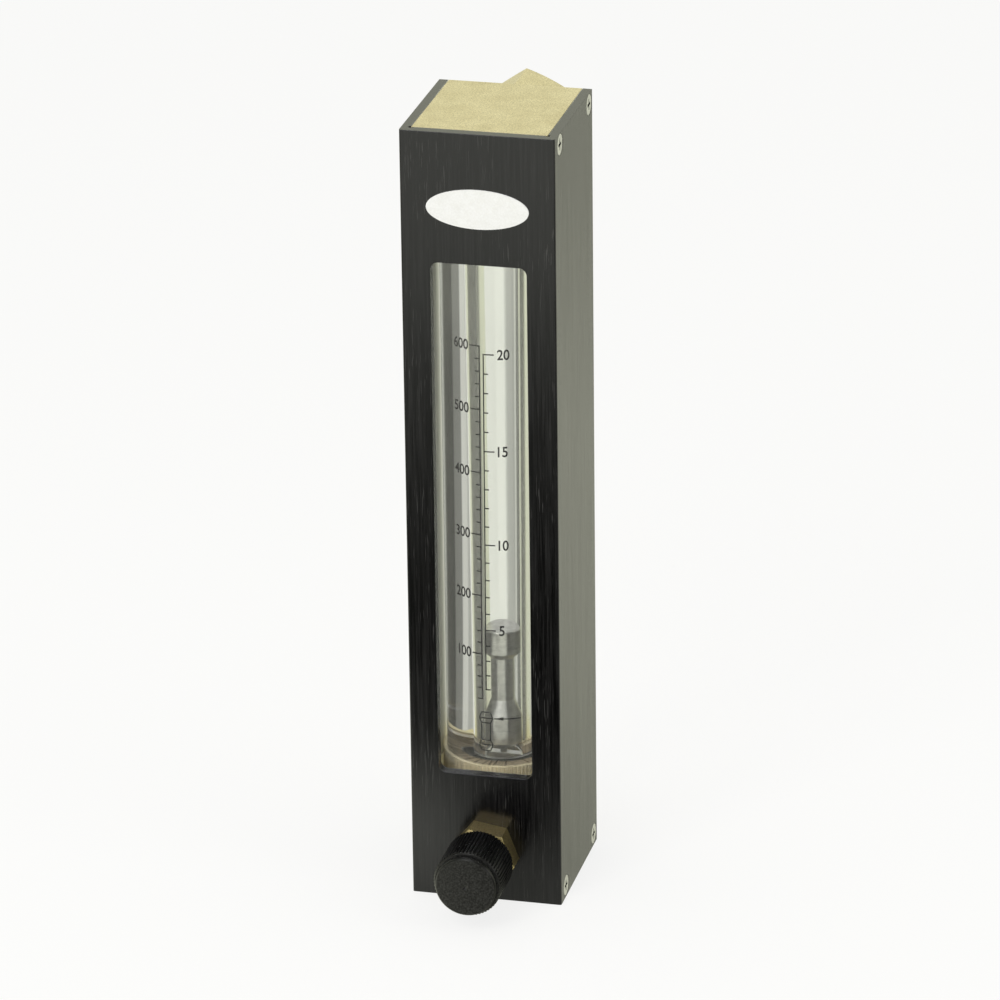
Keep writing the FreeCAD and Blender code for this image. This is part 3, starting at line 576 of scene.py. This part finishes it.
def reading_mark():
    """The float's outline, its two heads and their edges, and the arrow."""
    mesh = bmesh.new()

    def path(points):
        for start, end in zip(points, points[1:]):
            stroke(mesh, start, end)

    lower_level = MARK_LEVEL - MARK_DROP
    for level, up, down in ((MARK_LEVEL, MARK_HEAD_UP, MARK_HEAD_DOWN),
                            (lower_level, MARK_HEAD_DOWN, MARK_HEAD_UP)):
        wide = [(MARK_MIDDLE + s * MARK_HEAD_HALF, level) for s in (-1, 1)]
        top = [(MARK_MIDDLE + s * MARK_NECK_HALF, level + up) for s in (-1, 1)]
        foot = [(MARK_MIDDLE + s * MARK_NECK_HALF, level - down) for s in (-1, 1)]
        path([wide[0], top[0], top[1], wide[1], foot[1], foot[0], wide[0]])
        path(wide)
    for s in (-1, 1):
        across = MARK_MIDDLE + s * MARK_NECK_HALF
        path([(across, MARK_LEVEL - MARK_HEAD_DOWN), (across, lower_level + MARK_HEAD_DOWN)])
    tip = MARK_MIDDLE + MARK_HEAD_HALF + LINE_WIDTH
    path([(tip, MARK_LEVEL), (tip + ARROW_LENGTH, MARK_LEVEL)])
    head = [(tip, MARK_LEVEL)]
    head += [(tip + ARROW_HEAD, MARK_LEVEL + s * ARROW_HALF) for s in (-1, 1)]
    mesh.faces.new([mesh.verts.new(wrapped(*corner)) for corner in head])
    added_piece("tube_reading_mark", mesh, INK)


# ----------------------------------------------------------------- port threads

PORT_RADIUS = 9.6 * MM
THREAD_PITCH = 1.81 * MM
THREAD_DEPTH = 0.9 * MM
THREAD_LENGTH = 15.5 * MM
THREAD_START = 1.4 * MM
THREAD_ROOT = 0.05 * MM
THREAD_HALF = 0.46
THREAD_STEPS = 40


def port_thread(name, node):
    """Pipe thread as one helical ridge whose foot lies in the wall of a port."""
    low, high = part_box(node)
    middle = (low + high) / 2
    mesh = bmesh.new()
    section = ((PORT_RADIUS + THREAD_ROOT, THREAD_HALF), (PORT_RADIUS - THREAD_DEPTH, 0.0),
               (PORT_RADIUS + THREAD_ROOT, -THREAD_HALF))
    rings = []
    for i in range(int(THREAD_LENGTH / THREAD_PITCH * THREAD_STEPS) + 1):
        angle = 2 * math.pi * i / THREAD_STEPS
        depth = high.y - THREAD_START - THREAD_PITCH * i / THREAD_STEPS
        rings.append([mesh.verts.new((middle.x + radius * math.cos(angle),
                                      depth + shift * THREAD_PITCH,
                                      middle.z + radius * math.sin(angle)))
                      for radius, shift in section])
    for a, b in zip(rings, rings[1:]):
        for k in range(2):
            mesh.faces.new((a[k], a[k + 1], b[k + 1], b[k]))
    added_piece(name, mesh, FINISHES["brass"])


# -------------------------------------------------------- floor, light, camera

WHITE = (1.0, 1.0, 1.0, 1.0)
BLACK = (0.0, 0.0, 0.0, 1.0)
FLOOR_SIZE = 12.0
FLOOR_PAPER = (0.92, 0.92, 0.85, 1)
FLOOR_ROUGHNESS = 0.9
FLOOR_SEEN = 0.80
WORLD_LEVEL = 0.72
# Painted reflection: the level of the surround in front, for mirror rays only.
WORLD_FRONT = 0.10
WORLD_TURNS = (-0.5, 0.3)
# Warm tint painted into reflections only.
MIRROR_PAINTED_TINT = (0.985, 1.0, 0.80, 1)
# The floor and the surround are plain to the camera. What follows is painted shade and painted
# reflection, only for rays that went through glass or that mirror the studio.
#
# Through glass, the floor is darkened to the right behind, a painted shadow of the meter
# and painted shade: bearing in degrees from straight behind, and the light that is left there.
GLASS_PAINTED_SHADOW = ((-8, 1.0), (-4, 0.56), (9.5, 0.52), (11, 0.76), (15.6, 0.76), (17, 0.22),
              (26, 0.20), (28, 0.02), (48, 0.02), (60, 1.0))
# Painted reflections: mirrored, the floor in front is dark between two pale strips, and the
# floor
# behind is dimmer than paper: distance behind the origin in metres, and the light there.
FRONT_PAINTED_REFLECTION = ((-0.93, 1.24), (-0.80, 1.12), (-0.655, 1.16), (-0.61, 0.66), (-0.56, 0.42),
              (-0.46, 0.32), (-0.37, 0.17), (-0.32, 0.12), (-0.24, 0.12), (-0.20, 0.22),
              (-0.162, 0.30), (-0.135, 0.96), (-0.09, 1.36), (-0.055, 1.12), (0.0, 0.54),
              (0.20, 0.70), (0.45, 0.78), (0.80, 0.62))
# Mirrored, it also carries painted shade that falls off to the right: place across the front
# panel in metres that mirrors the spot, and the light there; then, by distance behind the
# origin, how far that counts. The slant is that of lines of sight from 14 degrees right.
ACROSS_PAINTED_SHADE = ((-0.027, 1.0), (-0.014, 0.70), (0.0, 0.30), (0.012, 0.12), (0.030, 0.18))
ACROSS_COUNTS = ((-0.70, 0.0), (-0.62, 0.6), (-0.36, 0.7), (-0.30, 1.0), (-0.10, 1.0),
                 (-0.04, 0.5), (0.0, 0.0))
MIRROR_SLANT = 0.2487


class Stage:
    """Small node kit for the floor and the world."""

    def __init__(self, tree):
        self.tree = tree
        path = tree.nodes.new("ShaderNodeLightPath")
        self.through = path.outputs["Is Transmission Ray"]
        self.camera = path.outputs["Is Camera Ray"]
        self.mirror = self.product(path.outputs["Is Glossy Ray"], self.rest_of(self.through))

    def math(self, operation, *sources):
        made = self.tree.nodes.new("ShaderNodeMath")
        made.operation = operation
        for socket, source in zip(made.inputs, sources):
            if isinstance(source, bpy.types.NodeSocket):
                self.tree.links.new(source, socket)
            else:
                socket.default_value = source
        return made.outputs["Value"]

    def product(self, first, second):
        return self.math("MULTIPLY", first, second)

    def rest_of(self, share):
        return self.math("SUBTRACT", 1.0, share)

    def band(self, source, low, high, start=0.0, end=1.0):
        """Carry source from low..high over to start..end, and hold it there outside."""
        made = self.tree.nodes.new("ShaderNodeMapRange")
        self.tree.links.new(source, made.inputs["Value"])
        for label, value in (("From Min", low), ("From Max", high), ("To Min", start),
                             ("To Max", end)):
            made.inputs[label].default_value = value
        return made.outputs["Result"]

    def profile(self, source, points):
        """Level that runs in straight lines between (place, level) points."""
        total = points[0][1]
        for (start, above), (end, below) in zip(points, points[1:]):
            if above != below:
                step = self.band(source, start, end, 0.0, below - above)
                total = self.math("ADD", step, total)
        return total

    def only_for(self, rays, level):
        """level for these rays and 1 for the others."""
        return self.math("ADD", self.product(rays, level), self.rest_of(rays))

    def colour(self, share, first, second):
        made = self.tree.nodes.new("ShaderNodeMix")
        made.data_type = "RGBA"
        self.tree.links.new(share, made.inputs["Factor"])
        made.inputs["A"].default_value = first
        made.inputs["B"].default_value = second
        return made.outputs["Result"]

    def tint(self):
        """White, or the warmer tone painted into what mirrors pick up."""
        return self.colour(self.mirror, WHITE, MIRROR_PAINTED_TINT)


def mirrored_level(stage, across, back):
    """Painted reflection: light that a spot of the floor shows in things that mirror it."""
    shift = stage.product(MIRROR_SLANT, stage.math("SUBTRACT", back, CHANNEL_LOW.y))
    on_panel = stage.math("SUBTRACT", across, shift)
    fall = stage.rest_of(stage.profile(on_panel, ACROSS_PAINTED_SHADE))
    dimmed = stage.product(stage.profile(back, ACROSS_COUNTS), fall)
    return stage.product(stage.profile(back, FRONT_PAINTED_REFLECTION), stage.rest_of(dimmed))


def floor_shader(tree):
    """Lit paper with painted shade for rays through glass, and a glow in its place for the
    camera and, as painted reflections, for mirror rays.
    """
    stage = Stage(tree)
    spot = tree.nodes.new("ShaderNodeNewGeometry").outputs["Position"]
    split = tree.nodes.new("ShaderNodeSeparateXYZ")
    tree.links.new(spot, split.inputs["Vector"])
    across, back = split.outputs["X"], split.outputs["Y"]
    lit = tree.nodes["Principled BSDF"]
    bearing = stage.math("DEGREES", stage.math("ARCTAN2", across, back))
    # Painted shadow: for rays through glass the paper is darkened by bearing.
    left = stage.only_for(stage.through, stage.profile(bearing, GLASS_PAINTED_SHADOW))
    tree.links.new(stage.colour(left, BLACK, FLOOR_PAPER), lit.inputs["Base Color"])
    lit.inputs["Roughness"].default_value = FLOOR_ROUGHNESS
    glow = tree.nodes.new("ShaderNodeEmission")
    tree.links.new(stage.tint(), glow.inputs["Color"])
    # Painted reflections: for mirror rays the floor glows by the tables above.
    level = stage.only_for(stage.mirror, mirrored_level(stage, across, back))
    tree.links.new(level, glow.inputs["Strength"])
    mix = tree.nodes.new("ShaderNodeMixShader")
    seen = stage.math("MAXIMUM", stage.product(stage.camera, FLOOR_SEEN), stage.mirror)
    tree.links.new(seen, mix.inputs["Fac"])
    tree.links.new(lit.outputs["BSDF"], mix.inputs[1])
    tree.links.new(glow.outputs["Emission"], mix.inputs[2])
    tree.links.new(mix.outputs["Shader"], tree.nodes["Material Output"].inputs["Surface"])


def floor():
    """Pale paper floor, shown near white where it is looked at directly."""
    material = bpy.data.materials.new("floor")
    material.use_nodes = True
    floor_shader(material.node_tree)
    half = FLOOR_SIZE / 2
    corners = [(x, y, CAD_LOW.z)
               for x, y in ((-half, -half), (half, -half), (half, half), (-half, half))]
    data = bpy.data.meshes.new("floor")
    data.from_pydata(corners, [], [(0, 1, 2, 3)])
    data.materials.append(material)
    made = bpy.data.objects.new("floor", data)
    bpy.context.scene.collection.objects.link(made)


def world():
    """White surround, dimmer as a light, and dark in front as polished things see it: painted
    dark reflections.
    """
    surround = bpy.data.worlds.new("studio")
    surround.use_nodes = True
    bpy.context.scene.world = surround
    tree = surround.node_tree
    stage = Stage(tree)
    background = tree.nodes["Background"]
    tree.links.new(stage.tint(), background.inputs["Color"])
    split = tree.nodes.new("ShaderNodeSeparateXYZ")
    direction = tree.nodes.new("ShaderNodeTexCoord").outputs["Generated"]
    tree.links.new(direction, split.inputs["Vector"])
    seen = stage.math("MAXIMUM", stage.camera, stage.mirror)
    level = stage.band(seen, 0.0, 1.0, WORLD_LEVEL, 1.0)
    # Painted reflection: the surround in front is dark only for mirror rays.
    front = stage.band(split.outputs["Y"], *WORLD_TURNS, WORLD_FRONT, 1.0)
    strength = stage.product(level, stage.only_for(stage.mirror, front))
    tree.links.new(strength, background.inputs["Strength"])


def soft_lamp(name, azimuth, elevation, distance, size, power):
    """Square area lamp aimed at the object's middle."""
    turn, rise = math.radians(azimuth), math.radians(elevation)
    outward = Vector((math.sin(turn) * math.cos(rise), -math.cos(turn) * math.cos(rise),
                      math.sin(rise)))
    data = bpy.data.lights.new(name, "AREA")
    data.size = size
    data.energy = power
    lamp = bpy.data.objects.new(name, data)
    lamp.location = CENTRE + outward * distance
    lamp.rotation_euler = (-outward).to_track_quat("-Z", "Y").to_euler()
    bpy.context.scene.collection.objects.link(lamp)


CAMERA_AZIMUTH = math.radians(14.022)
CAMERA_ELEVATION = math.radians(22.065)
CAMERA_ROLL = math.radians(-0.731)
CAMERA_DISTANCE = 2.2432
CAMERA_RIGHT = 0.00045
CAMERA_LENS = 216.0
SENSOR_WIDTH = 36.0


def camera():
    """Long lens from the right and above, level but for a slight roll."""
    right = Vector((math.cos(CAMERA_AZIMUTH), math.sin(CAMERA_AZIMUTH), 0))
    back = Vector((math.sin(CAMERA_AZIMUTH) * math.cos(CAMERA_ELEVATION),
                   -math.cos(CAMERA_AZIMUTH) * math.cos(CAMERA_ELEVATION),
                   math.sin(CAMERA_ELEVATION)))
    up = back.cross(right)
    data = bpy.data.cameras.new("camera")
    data.lens = CAMERA_LENS
    data.sensor_width = SENSOR_WIDTH
    made = bpy.data.objects.new("camera", data)
    turned = Matrix((right, up, back)).transposed() @ Matrix.Rotation(CAMERA_ROLL, 3, "Z")
    place = CENTRE + back * CAMERA_DISTANCE + right * CAMERA_RIGHT
    made.matrix_world = Matrix.Translation(place) @ turned.to_4x4()
    bpy.context.scene.collection.objects.link(made)
    bpy.context.scene.camera = made


dress_nodes()
for place_name, place_scale in SCALES.items():
    scale_lines(place_name, place_scale)
    scale_numbers(place_name, place_scale)
reading_mark()
for port in ("inlet", "outlet"):
    port_thread(f"{port}_thread", f"{port}_fitting")
floor()
world()
soft_lamp("key_lamp", azimuth=-14, elevation=40, distance=1.6, size=0.7, power=9.0)
soft_lamp("side_lamp", azimuth=75, elevation=25, distance=1.8, size=0.9, power=4.0)
camera()
bpy.context.scene.view_settings.view_transform = "Standard"
